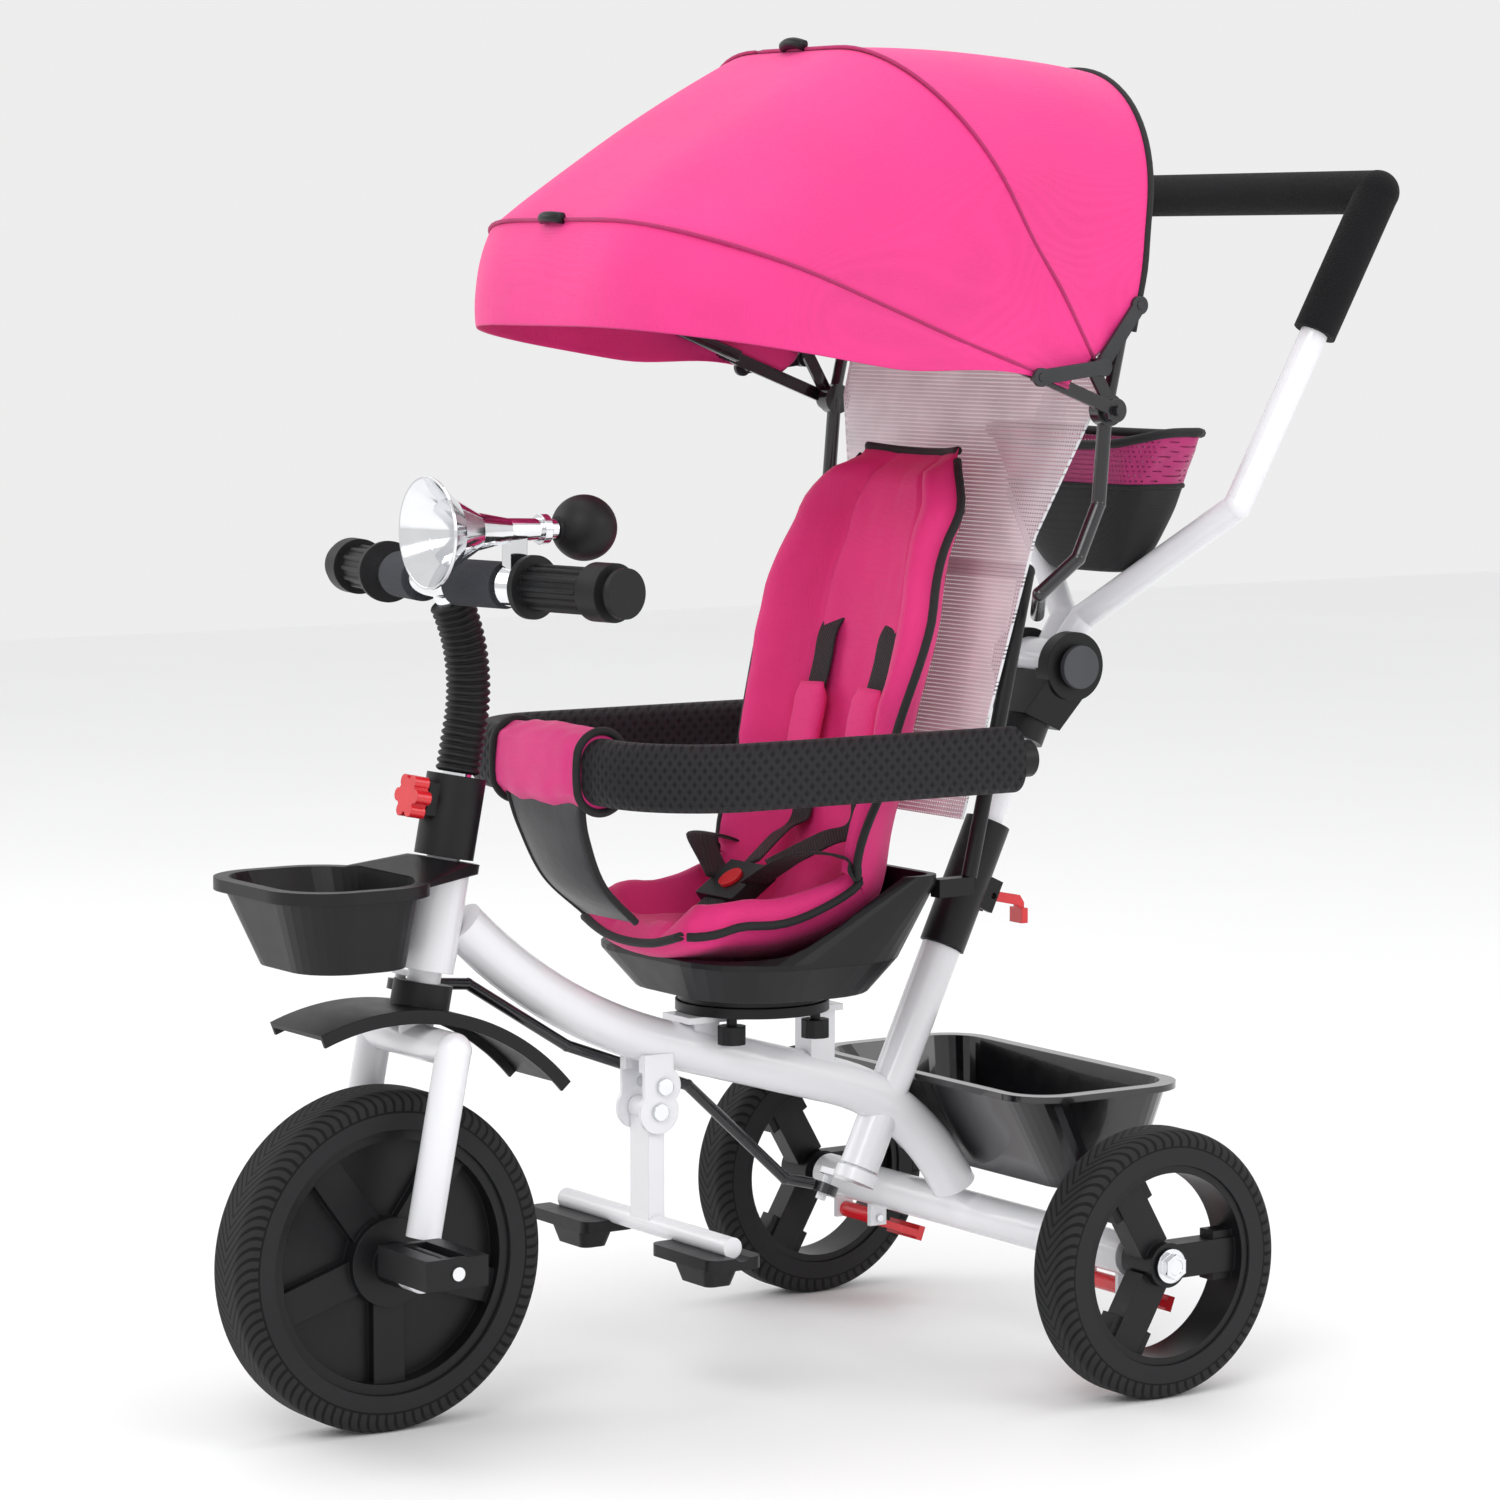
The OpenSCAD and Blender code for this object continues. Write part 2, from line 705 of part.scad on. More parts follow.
// A bow in its own plane: u runs from the pivot outwards
module bow(len, ang, r) translate(pivot) rotate([ang, 0, 0]) {
  both() translate([bow_w, 0, 0]) rotate([-90, 0, 0]) cylinder(h = len - corner, r = r);
  both() translate([bow_w - corner, len - corner, 0]) rotate_extrude(angle = 90) translate([corner, 0]) circle(r = r);
  rotate([0, 90, 0]) translate([0, len, 0]) cylinder(h = 2 * (bow_w - corner), r = r, center = true);
}

// A pivot eye at one side, between x0 and x1
module eye(x0, x1, r = 9) both() along_x(pivot, x0, x1, r);

module canopy_supports() color(black) at() {
  difference() {
    union() {
      bow(bow_len[0], bow_ang[0], bow_r);
      eye(bow_w - 7, bow_w + 5, 12);
    }
    both() along_x(pivot, bow_w - 20, bow_w - 6, 20);
  }
  both() {
    along_x(pivot, bow_w + 4, bow_w + 18, 4);
    along_x(brace_c, bow_w + 4, bow_w + 18, 3);
    along_x(brace_c, bow_w - 3, bow_w + 5, 6.5);
    rod([bow_w - 1, pivot.y, pivot.z], [bow_w - 1, 519, 670], 5.5);
    elbow([bow_w - 1, 519, 670], 5.5);
    rod([bow_w - 1, 519, 670], [bow_w - 1, 500, 630], 5.5);
    elbow([bow_w - 1, 500, 630], 5.5);
    rod([bow_w - 1, 500, 630], [bow_w - 8, 470, 604], 5.5);
    elbow([bow_w - 8, 470, 604], 5.5);
    rod([bow_w - 8, 470, 604], [118, 508, 584], 5.5);
  }
}

function out(p, d, a) = p + d * [0, cos(a), sin(a)];
brace_a = out(pivot, brace_p, bow_ang[2] + 2);
brace_c = out(pivot, brace_p, bow_ang[0]);
brace_m = (brace_a + brace_c) / 2;
brace_h = sqrt(pow(brace_l, 2) - pow(norm(brace_a - brace_c) / 2, 2));
brace_b = brace_m + brace_h * (pivot - brace_m) / norm(pivot - brace_m);

// Flattened eye and arm that carry a folding bow on its pivot pin
module folding_bow(i, x0, x1) {
  difference() {
    bow(bow_len[i], bow_ang[i], bow_r);
    translate(pivot) rotate([0, 90, 0]) cylinder(h = 3 * bow_w, r = bow_from, center = true);
  }
  both() difference() {
    union() {
      along_x(pivot, x0, x1, 9);
      translate([(x0 + x1) / 2, 0, 0])
        bar_yz(pivot, out(pivot, bow_from + 8, bow_ang[i]), x1 - x0, 10);
      translate(out([bow_w, pivot.y, pivot.z], bow_from + 5, bow_ang[i])) rotate([bow_ang[i], 0, 0])
        translate([-4, -6, -4]) cube([x1 - bow_w + 4, 12, 8]);
    }
    along_x(pivot, x0 - 1, x1 + 1, 4 + run);
  }
}

module bow_mid() color(black) at() folding_bow(1, bow_w + 5.5, bow_w + 9);

module bow_front() color(black) at() {
  difference() {
    folding_bow(2, bow_w + 9.5, bow_w + 13);
    both() along_x(brace_a, bow_w + 5, bow_w + 15, 3);
  }
  both() along_x(brace_a, bow_w + 9.5, bow_w + 22, 3);
}

// The wedge between the planes of two bows, reaching past each plane by a little
module wedge(l0, a0, l1, a1, grow, past) hull() {
  outline(l0, a0, grow, -past);
  outline(l1, a1, grow, past - 1);
}

module outline(len, ang, grow, off) translate(pivot) rotate([ang, 0, 0]) translate([0, 0, off]) linear_extrude(1)
  difference() {
    hull() {
      for (x = [-1, 1]) translate([x * (bow_w - corner), len - corner]) circle(r = corner + grow, $fn = 40);
      translate([-bow_w - grow, 24]) square([2 * (bow_w + grow), 1]);
    }
  }

in_r = bow_r + 1.8;
module around_pivot() translate(pivot) rotate([0, 90, 0]) cylinder(h = 3 * bow_w, r = bow_from + 14, center = true);

module cover_rear() color(pink) at() difference() {
  wedge(bow_len[0], bow_ang[0], bow_len[1], bow_ang[1] - 2.2, in_r + skin, 4);
  wedge(bow_len[0], bow_ang[0], bow_len[1], bow_ang[1] - 2.2, in_r, 9);
  around_pivot();
}

// The front cover runs on past the front bow as a visor
visor_len = bow_len[2] - 3;
visor_ang = bow_ang[2] + 9;
module cover_front() color(pink) at() difference() {
  union() {
    wedge(bow_len[1], bow_ang[1] + 2.2, bow_len[2], bow_ang[2], in_r + skin, 2);
    wedge(bow_len[2], bow_ang[2], visor_len, visor_ang, in_r + skin, 1);
  }
  wedge(bow_len[1], bow_ang[1] + 2.2, bow_len[2], bow_ang[2], in_r, 9);
  wedge(bow_len[2], bow_ang[2], visor_len, visor_ang, in_r, 9);
  around_pivot();
}

module link(a, b, x0, x1, r) both() difference() {
  union() {
    along_x(a, x0, x1, 7);
    along_x(b, x0, x1, 7);
    translate([(x0 + x1) / 2, 0, 0]) bar_yz(a, b, x1 - x0, 11);
  }
  along_x(a, x0 - 1, x1 + 1, r);
}

module brace_rear() color("#5a5b60") at() link(brace_c, brace_b, bow_w + 14, bow_w + 17.5, 3 + run);

module brace_front() color("#5a5b60") at() link(brace_a, brace_b, bow_w + 18, bow_w + 21.5, 3 + run);

// ---- Guard ring ----

module stadium(wide, tall, inset = 0) {
  square([wide - 2 * inset, tall - wide], center = true);
  for (y = [-1, 1]) translate([0, y * (tall - wide) / 2]) circle(r = wide / 2 - inset);
}

module ring_body(wide, tall) {
  both() {
    translate([ring_x, ring_back, ring_z]) rotate([90, 0, 0])
      linear_extrude(ring_back - ring_front - ring_corner) stadium(wide, tall);
    translate([ring_x - ring_corner, ring_front + ring_corner, ring_z]) rotate([0, 0, -90])
      rotate_extrude(angle = 90) translate([ring_corner, 0]) stadium(wide, tall);
  }
  translate([0, ring_front, ring_z]) rotate([90, 0, 90])
    linear_extrude(2 * (ring_x - ring_corner), center = true) stadium(wide, tall);
}

module guard_ring() color(black) at() difference() {
  ring_body(34, 50);
  both() spigot(8 + run, 46);
}

module spigot(r, deep) translate([ring_x, ring_back + 12, ring_z]) rotate([90, 0, 0]) cylinder(h = deep + 12, r = r);

module ring_cover() color(pink) at() {
  difference() {
    translate([-58, ring_front - 20, ring_z - 29]) cube([116, 40, 58]);
    translate([-60, ring_front - 17.3, ring_z - 25.3]) cube([120, 34.6, 50.6]);
  }
  hull() {
    translate([-46, ring_front - 10, ring_z - 31]) cube([92, 3, 2]);
    translate([-34, 196, 362]) cube([68, 3, 2]);
  }
}

// ---- Footrest ----

module footrest_arm() color(white) at() difference() {
  union() {
    translate([-13, rest_p.y - 7, rest_z]) cube([26, 14, rest_p.z - rest_z]);
    along_x(rest_p, -13, 13, 9);
    along_x([0, rest_p.y, rest_z], -118, 118, 8);
  }
  along_x(rest_p, -20, 20, 4 + run);
}

module foot_plates() color(black) at() both() {
  difference() {
    plate(88, rest_p.y - 4, rest_z - 14, 88, 46, 10, 9);
    along_x([0, rest_p.y, rest_z], -140, 140, 8);
  }
  hull() {
    plate(88, rest_p.y - 4, rest_z - 15, 50, 30, 6);
    plate(88, rest_p.y - 4, rest_z - 30, 40, 22, 6);
  }
}

main_frame();
head_bearings();
rear_axle();
fasteners();
rear_bucket();
turntable_base();
footrest_bracket();
seat_knob_front();
seat_knob_rear();
fork();
fender();
front_basket();
stem_clamp();
stem_knob();
handlebar();
stem_sleeve();
bar_foam();
grips();
horn_bell();
horn_bulb();
front_tyre();
front_rim();
crankset();
pedal_left();
pedal_right();
rear_tyre_left();
rear_tyre_right();
rear_rim_left();
rear_rim_right();
brake_left();
brake_right();
push_stem();
push_sleeve();
height_lever();
push_tube();
knuckle();
tilt_button();
push_handle();
handle_foam();
parent_bag();
steering_rod();
turntable_top();
seat_shell();
seat_pad();
back_mesh();
harness();
shoulder_pads();
buckle();
buckle_button();
canopy_supports();
guard_ring();
ring_cover();
bow_mid();
bow_front();
cover_rear();
cover_front();
brace_rear();
brace_front();
footrest_arm();
foot_plates();
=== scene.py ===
"""Looks for the children's tricycle: fabric, foam, webbing, paint, rubber and light."""

from math import asin, cos, pi, radians, sin

import bpy
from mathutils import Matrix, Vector, noise


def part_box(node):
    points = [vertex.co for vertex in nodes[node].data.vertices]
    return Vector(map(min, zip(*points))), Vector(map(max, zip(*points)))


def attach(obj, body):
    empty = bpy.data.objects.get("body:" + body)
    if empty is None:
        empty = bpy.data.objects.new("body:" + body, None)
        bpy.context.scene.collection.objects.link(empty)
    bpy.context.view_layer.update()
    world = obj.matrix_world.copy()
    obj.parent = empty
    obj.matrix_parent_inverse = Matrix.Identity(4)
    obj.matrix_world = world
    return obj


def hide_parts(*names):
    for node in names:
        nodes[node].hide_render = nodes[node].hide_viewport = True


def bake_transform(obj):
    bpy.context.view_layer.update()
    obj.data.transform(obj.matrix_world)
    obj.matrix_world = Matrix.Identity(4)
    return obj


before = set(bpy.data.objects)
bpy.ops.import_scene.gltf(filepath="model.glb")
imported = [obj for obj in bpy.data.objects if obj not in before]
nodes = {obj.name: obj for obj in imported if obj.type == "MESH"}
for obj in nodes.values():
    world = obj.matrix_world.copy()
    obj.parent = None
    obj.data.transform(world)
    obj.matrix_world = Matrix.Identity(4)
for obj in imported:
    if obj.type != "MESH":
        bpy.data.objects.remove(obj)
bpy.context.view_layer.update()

# Places are given in metres as (x, distance behind the front axle, height).
AXLE_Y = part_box("front_tyre")[0][1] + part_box("front_tyre")[1][2] / 2


def at(x, y, z):
    return Vector((x, AXLE_Y + y, z))


def smooth(t):
    t = min(max(t, 0.0), 1.0)
    return t * t * (3 - 2 * t)


def ramp(points, t):
    """A smooth curve through (position, value) pairs."""
    for (a, va), (b, vb) in zip(points, points[1:]):
        if t <= b:
            return va + (vb - va) * smooth((t - a) / (b - a))
    return points[-1][1]


# ---------------------------------------------------------------- materials


class Mat:
    """A Principled material whose detail comes from procedural nodes."""

    def __init__(self, name, color, rough, metal=0.0, **sockets):
        self.mat = bpy.data.materials.new(name)
        self.mat.use_nodes = True
        self.tree = self.mat.node_tree
        self.shader = self.tree.nodes["Principled BSDF"]
        self.color = color
        self.height = None
        self.coords = self.node("ShaderNodeTexCoord").outputs["Object"]
        self.shader.inputs["Base Color"].default_value = (*color, 1)
        self.shader.inputs["Roughness"].default_value = rough
        self.shader.inputs["Metallic"].default_value = metal
        for socket, value in sockets.items():
            self.shader.inputs[socket.replace("_", " ")].default_value = value

    def node(self, kind, **props):
        made = self.tree.nodes.new(kind)
        for key, value in props.items():
            setattr(made, key, value)
        return made

    def link(self, a, b):
        self.tree.links.new(a, b)

    def noise(self, scale, detail=3.0, stretch=(1, 1, 1)):
        mapping = self.node("ShaderNodeMapping")
        mapping.inputs["Scale"].default_value = stretch
        made = self.node("ShaderNodeTexNoise")
        made.inputs["Scale"].default_value = scale
        made.inputs["Detail"].default_value = detail
        self.link(self.coords, mapping.inputs["Vector"])
        self.link(mapping.outputs["Vector"], made.inputs["Vector"])
        return made.outputs["Fac"]

    def wave(self, scale, direction="DIAGONAL", distortion=0.0):
        made = self.node("ShaderNodeTexWave", bands_direction=direction)
        made.inputs["Scale"].default_value = scale
        made.inputs["Distortion"].default_value = distortion
        self.link(self.coords, made.inputs["Vector"])
        return made.outputs["Fac"]

    def math(self, operation, a, b=0.0):
        made = self.node("ShaderNodeMath", operation=operation)
        for value, socket in ((a, made.inputs[0]), (b, made.inputs[1])):
            if isinstance(value, (int, float)):
                socket.default_value = value
            else:
                self.link(value, socket)
        return made.outputs[0]

    def vary(self, fac, dark, light):
        """Colour runs from dark to light times the base colour."""
        made = self.node("ShaderNodeValToRGB")
        low, high = made.color_ramp.elements
        low.position, high.position = 0.3, 0.7
        low.color = (*[c * dark for c in self.color], 1)
        high.color = (*[min(c * light, 1) for c in self.color], 1)
        self.link(fac, made.inputs["Fac"])
        self.link(made.outputs["Color"], self.shader.inputs["Base Color"])
        return self

    def roughen(self, fac, low, high):
        made = self.node("ShaderNodeMapRange")
        made.inputs["To Min"].default_value = low
        made.inputs["To Max"].default_value = high
        self.link(fac, made.inputs["Value"])
        self.link(made.outputs["Result"], self.shader.inputs["Roughness"])
        return self

    def bump(self, fac, distance, strength=1.0):
        made = self.node("ShaderNodeBump")
        made.inputs["Distance"].default_value = distance
        made.inputs["Strength"].default_value = strength
        self.link(fac, made.inputs["Height"])
        if self.height is not None:
            self.link(self.height, made.inputs["Normal"])
        self.height = made.outputs["Normal"]
        self.link(self.height, self.shader.inputs["Normal"])
        return self

    def soften_edges(self, radius):
        made = self.node("ShaderNodeBevel", samples=4)
        made.inputs["Radius"].default_value = radius
        self.height = made.outputs["Normal"]
        self.link(self.height, self.shader.inputs["Normal"])
        return self


def weave(m, threads, depth):
    """Crossing threads, that many to the metre."""
    over = m.wave(threads, "X")
    across = m.wave(threads, "Z")
    deep = m.wave(threads, "Y")
    m.bump(m.math("MAXIMUM", m.math("MAXIMUM", over, across), deep), depth, 0.6)
    return m


def fabric(name, color, threads=260, sheen=0.4, rough=0.72):
    m = Mat(name, color, rough, Sheen_Weight=sheen, Sheen_Roughness=0.45)
    m.vary(m.noise(9, 5), 0.9, 1.05)
    m.bump(m.noise(38, 4), 0.0016, 0.5)
    return weave(m, threads, 0.0003)


def plastic(name, color, rough, grain=900, depth=0.00012, edge=0.0012, **sockets):
    m = Mat(name, color, rough, **sockets)
    m.soften_edges(edge)
    m.vary(m.noise(30, 4), 0.86, 1.1)
    m.roughen(m.noise(60, 5), rough - 0.06, rough + 0.08)
    return m.bump(m.noise(grain, 2), depth, 0.5)


PINK = (0.80, 0.026, 0.235)

pink_cloth = fabric("pink_cloth", PINK, sheen=0.1, rough=0.6)
pink_pad = fabric("pink_pad", (0.76, 0.022, 0.2), threads=220, sheen=0.1)
black_cloth = fabric("black_cloth", (0.008, 0.008, 0.009), sheen=0.05)
webbing = fabric("webbing", (0.008, 0.008, 0.009), threads=420, sheen=0.05)
webbing.bump(webbing.wave(190, "DIAGONAL"), 0.0006, 0.7)
piping = fabric("black_piping", (0.006, 0.006, 0.007), threads=500, sheen=0.05)
seam = fabric("pink_seam", (0.42, 0.01, 0.12), threads=500, sheen=0.1)

vinyl = Mat("black_vinyl", (0.02, 0.02, 0.023), 0.42)
vinyl.vary(vinyl.noise(14, 4), 0.8, 1.25).bump(vinyl.noise(420, 3), 0.0003, 0.5)
vinyl.bump(vinyl.noise(22, 3), 0.0025, 0.6)

white_paint = Mat("white_paint", (0.82, 0.82, 0.85), 0.22, Coat_Weight=0.5, Coat_Roughness=0.08)
white_paint.soften_edges(0.0012).vary(white_paint.noise(5, 3), 0.97, 1.02)
white_paint.roughen(white_paint.noise(26, 4), 0.17, 0.3).bump(white_paint.noise(140, 2), 0.00012, 0.3)

chrome = Mat("chrome", (0.78, 0.79, 0.81), 0.07, 1.0)
chrome.soften_edges(0.0008).vary(chrome.noise(40, 4), 0.93, 1.03)
chrome.roughen(chrome.noise(55, 5), 0.04, 0.14)

black_plastic = plastic("black_plastic", (0.006, 0.006, 0.007), 0.4, Specular_IOR_Level=0.3)
gloss_black = plastic("gloss_black", (0.004, 0.004, 0.005), 0.16, grain=200, depth=0.0001, Coat_Weight=0.5)
grey_plastic = plastic("grey_plastic", (0.05, 0.052, 0.06), 0.45)
red_plastic = plastic("red_plastic", (0.72, 0.014, 0.024), 0.24, grain=300, Coat_Weight=0.3)
black_steel = plastic("black_steel", (0.013, 0.013, 0.015), 0.2, grain=400, depth=0.00006, Coat_Weight=0.4)
brace_steel = plastic("brace_steel", (0.035, 0.036, 0.04), 0.34, Metallic=0.4)
rubber = plastic("black_rubber", (0.007, 0.007, 0.008), 0.5, grain=700, depth=0.0002, Specular_IOR_Level=0.3)


def foam(name, color, cell):
    m = Mat(name, color, 0.85, Sheen_Weight=0.03, Specular_IOR_Level=0.2)
    m.vary(m.noise(18, 4), 0.85, 1.15)
    cells = m.node("ShaderNodeTexVoronoi")
    cells.inputs["Scale"].default_value = cell
    m.link(m.coords, cells.inputs["Vector"])
    return m.bump(cells.outputs["Distance"], 0.0008, 0.7)


grey_foam = foam("grey_foam", (0.04, 0.042, 0.05), 900)
black_foam = foam("black_foam", (0.006, 0.006, 0.007), 800)


def ring_mesh_material():
    """Foam under an open knit, seen as a lattice of small diamonds."""
    m = Mat("ring_knit", (0.006, 0.006, 0.007), 0.72, Sheen_Weight=0.05, Specular_IOR_Level=0.25)
    a = m.wave(62, "DIAGONAL")
    mapping = m.node("ShaderNodeMapping")
    mapping.inputs["Scale"].default_value = (1, 1, -1)
    b = m.node("ShaderNodeTexWave", bands_direction="DIAGONAL")
    b.inputs["Scale"].default_value = 62
    m.link(m.coords, mapping.inputs["Vector"])
    m.link(mapping.outputs["Vector"], b.inputs["Vector"])
    knit = m.math("MAXIMUM", a, b.outputs["Fac"])
    m.vary(knit, 0.5, 2.4)
    return m.bump(knit, 0.001, 0.8)


ring_knit = ring_mesh_material()


def net(name, color, hole, cell):
    """Woven net with round holes that the light passes through."""
    m = Mat(name, color, 0.7, Sheen_Weight=0.3)
    cells = m.node("ShaderNodeTexVoronoi", voronoi_dimensions="2D")
    cells.inputs["Scale"].default_value = cell
    cells.inputs["Randomness"].default_value = 0.0
    split = m.node("ShaderNodeSeparateXYZ")
    flat = m.node("ShaderNodeCombineXYZ")
    m.link(m.coords, split.inputs[0])
    m.link(split.outputs["X"], flat.inputs["X"])
    m.link(split.outputs["Z"], flat.inputs["Y"])
    m.link(flat.outputs["Vector"], cells.inputs["Vector"])
    m.vary(m.noise(30, 3), 0.88, 1.06)
    threads = m.math("GREATER_THAN", cells.outputs["Distance"], hole)
    m.link(threads, m.shader.inputs["Alpha"])
    return m.bump(m.noise(300, 2), 0.0003, 0.4)


white_net = net("white_net", (0.78, 0.78, 0.8), 0.22, 330)
pink_net = net("pink_net", (0.42, 0.012, 0.14), 0.2, 260)


def tyre_material(name, centre, radius, width, lugs):
    """Moulded tread: grooves round the tyre and lugs across it, worked out about the axle."""
    m = Mat(name, (0.014, 0.014, 0.015), 0.72, Specular_IOR_Level=0.25)
    split = m.node("ShaderNodeSeparateXYZ")
    m.link(m.coords, split.inputs[0])
    y = m.math("SUBTRACT", split.outputs["Y"], centre[1])
    z = m.math("SUBTRACT", split.outputs["Z"], centre[2])
    x = m.math("ABSOLUTE", m.math("SUBTRACT", split.outputs["X"], centre[0]))
    turn = m.math("ARCTAN2", z, y)
    reach = m.math("SQRT", m.math("ADD", m.math("MULTIPLY", y, y), m.math("MULTIPLY", z, z)))
    slant = m.math("MULTIPLY", x, 3.0 * lugs / width / 6)
    lug = m.math("SINE", m.math("ADD", m.math("MULTIPLY", turn, lugs), slant))
    block = m.math("GREATER_THAN", lug, -0.45)
    shoulder = m.math("GREATER_THAN", reach, radius * 0.885)
    tread = m.math("MULTIPLY", m.math("SUBTRACT", 1.0, block), shoulder)
    away = m.math("ABSOLUTE", m.math("SUBTRACT", reach, radius * 0.88))
    line = m.math("LESS_THAN", away, radius * 0.006)
    depth = m.math("SUBTRACT", 1.0, m.math("MAXIMUM", tread, line))
    # Painted shade: the grooves and the thin ring line are painted near black as the shade in these recesses,
    # and the rest of the tyre is painted lighter.
    m.vary(depth, 0.15, 1.35)
    m.bump(depth, 0.003, 1.0)
    return m.bump(m.noise(500, 2), 0.0002, 0.5)


LOOKS = {
    white_paint: "main_frame footrest_bracket fork push_stem push_tube push_handle footrest_arm",
    chrome: "head_bearings rear_axle fasteners handlebar horn_bell crankset",
    black_plastic: "turntable_base turntable_top front_basket fender stem_clamp push_sleeve knuckle"
    " seat_shell seat_knob_front seat_knob_rear pedal_left pedal_right foot_plates rear_rim_left"
    " rear_rim_right front_rim buckle stem_sleeve",
    gloss_black: "rear_bucket",
    brace_steel: "brace_rear brace_front",
    red_plastic: "stem_knob brake_left brake_right height_lever buckle_button",
    rubber: "grips horn_bulb",
    grey_foam: "bar_foam",
    black_foam: "handle_foam",
    ring_knit: "guard_ring",
    grey_plastic: "tilt_button",
    pink_pad: "seat_pad shoulder_pads",
    pink_cloth: "ring_cover cover_rear cover_front",
    black_cloth: "parent_bag",
    webbing: "harness",
    white_net: "back_mesh",
    black_steel: "steering_rod canopy_supports bow_mid bow_front",
}
for look, names in LOOKS.items():
    for name in names.split():
        for spot in nodes[name].material_slots:
            spot.material = look.mat

for name, lugs in (("front_tyre", 96), ("rear_tyre_left", 72), ("rear_tyre_right", 72)):
    low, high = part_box(name)
    centre = [(a + b) / 2 for a, b in zip(low, high)]
    look = tyre_material(name + "_tread", centre, (high[2] - low[2]) / 2, high[0] - low[0], lugs)
    for spot in nodes[name].material_slots:
        spot.material = look.mat


# ---------------------------------------------------------------- mesh helpers


def piece(name, points, faces, look, body=None, thick=0.0, subdivide=0, offset=0.0):
    data = bpy.data.meshes.new(name)
    data.from_pydata([tuple(p) for p in points], [], faces)
    data.update()
    obj = bpy.data.objects.new(name, data)
    bpy.context.collection.objects.link(obj)
    data.materials.append(look.mat)
    data.polygons.foreach_set("use_smooth", [True] * len(data.polygons))
    bpy.context.view_layer.objects.active = obj
    if thick:
        skin = obj.modifiers.new("thickness", "SOLIDIFY")
        skin.thickness = thick
        skin.offset = offset
    if subdivide:
        finer = obj.modifiers.new("smooth", "SUBSURF")
        finer.levels = finer.render_levels = subdivide
    for modifier in list(obj.modifiers):
        with bpy.context.temp_override(object=obj, active_object=obj):
            bpy.ops.object.modifier_apply(modifier=modifier.name)
    obj.data.polygons.foreach_set("use_smooth", [True] * len(obj.data.polygons))
    if body:
        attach(obj, body)
    return obj


def grid_faces(rows, columns, wrap=False, flip=False):
    faces = []
    for i in range(rows - 1):
        for j in range(columns if wrap else columns - 1):
            k = (j + 1) % columns
            face = (i * columns + j, i * columns + k, (i + 1) * columns + k, (i + 1) * columns + j)
            faces.append(face[::-1] if flip else face)
    return faces


def frames(path, up, closed=False):
    """(point, side, normal) at each point of a path; side lies as near up as it can."""
    out = []
    count = len(path)
    for i, p in enumerate(path):
        before = path[i - 1] if i or closed else p
        after = path[(i + 1) % count] if i < count - 1 or closed else p
        along = (after - before).normalized()
        hint = up(i) if callable(up) else Vector(up)
        normal = (hint - along * hint.dot(along)).normalized()
        out.append((p, along.cross(normal), normal))
    return out


def sweep(name, path, section, look, body=None, up=(0, 0, 1), closed=False, sides=12):
    """A closed tube along a path. section(i, angle) gives (side, normal) offsets."""
    points = []
    for i, (p, side, normal) in enumerate(frames(path, up, closed)):
        for k in range(sides):
            a, b = section(i, 2 * pi * k / sides)
            points.append(p + side * a + normal * b)
    rows = len(path)
    faces = grid_faces(rows, sides, wrap=True)
    if closed:
        last = (rows - 1) * sides
        faces += [(last + k, last + (k + 1) % sides, (k + 1) % sides, k) for k in range(sides)]
    else:
        faces.append(tuple(range(sides))[::-1])
        faces.append(tuple((rows - 1) * sides + k for k in range(sides)))
    return piece(name, points, faces, look, body)


def cord(name, path, radius, look, body=None, up=(0, 0, 1), closed=False, sides=8):
    return sweep(
        name, path, lambda i, a: (radius * cos(a), radius * sin(a)), look, body, up, closed, sides
    )


def strap_section(width, thick):
    """A flat strap with rounded edges."""

    def section(i, a):
        c, s = cos(a), sin(a)
        return (
            width / 2 * abs(c) ** 0.35 * (1 if c > 0 else -1),
            thick / 2 * abs(s) ** 0.6 * (1 if s > 0 else -1),
        )

    return section


def curve(points, steps=8):
    """A Catmull-Rom curve through the points."""
    pts = [2 * points[0] - points[1], *points, 2 * points[-1] - points[-2]]
    out = []
    for i in range(1, len(pts) - 2):
        a, b, c, d = pts[i - 1 : i + 3]
        for k in range(steps):
            t = k / steps
            out.append(
                0.5
                * (2 * b + (c - a) * t + (2 * a - 5 * b + 4 * c - d) * t * t + (3 * b - a - 3 * c + d) * t**3)
            )
    out.append(points[-1].copy())
    return out


# ---------------------------------------------------------------- canopy

PIVOT = (0.525, 0.740)
BOW_W = 0.1875
CORNER = 0.130
SKIN_OUT = 0.0075
BOWS = {"rear": (0.255, 77.0), "mid": (0.304, 120.6), "front": (0.388, 159.2)}
RINGS = 49
CLOTH = 0.0012


def bow_point(length, angle, s, start, grow=SKIN_OUT):
    """A point on a bow; s runs from 0 at the left leg's foot to 1 at the right leg's foot."""
    reach = length + grow
    half = BOW_W
    leg = reach - CORNER - start
    arc = pi / 2 * CORNER
    top = half - CORNER
    total = leg + arc + top
    travel = abs(0.5 - s) * 2 * total
    if travel < top:
        x, u = travel, reach
    elif travel < top + arc:
        turn = (travel - top) / CORNER
        x, u = top + CORNER * sin(turn), reach - CORNER + CORNER * cos(turn)
    else:
        x, u = half, reach - CORNER - (travel - top - arc)
    x += 0.0068 * smooth((0.150 - u) / 0.05)
    side = 1 if s < 0.5 else -1
    a = radians(angle)
    return at(side * x, PIVOT[0] + u * cos(a), PIVOT[1] + u * sin(a))


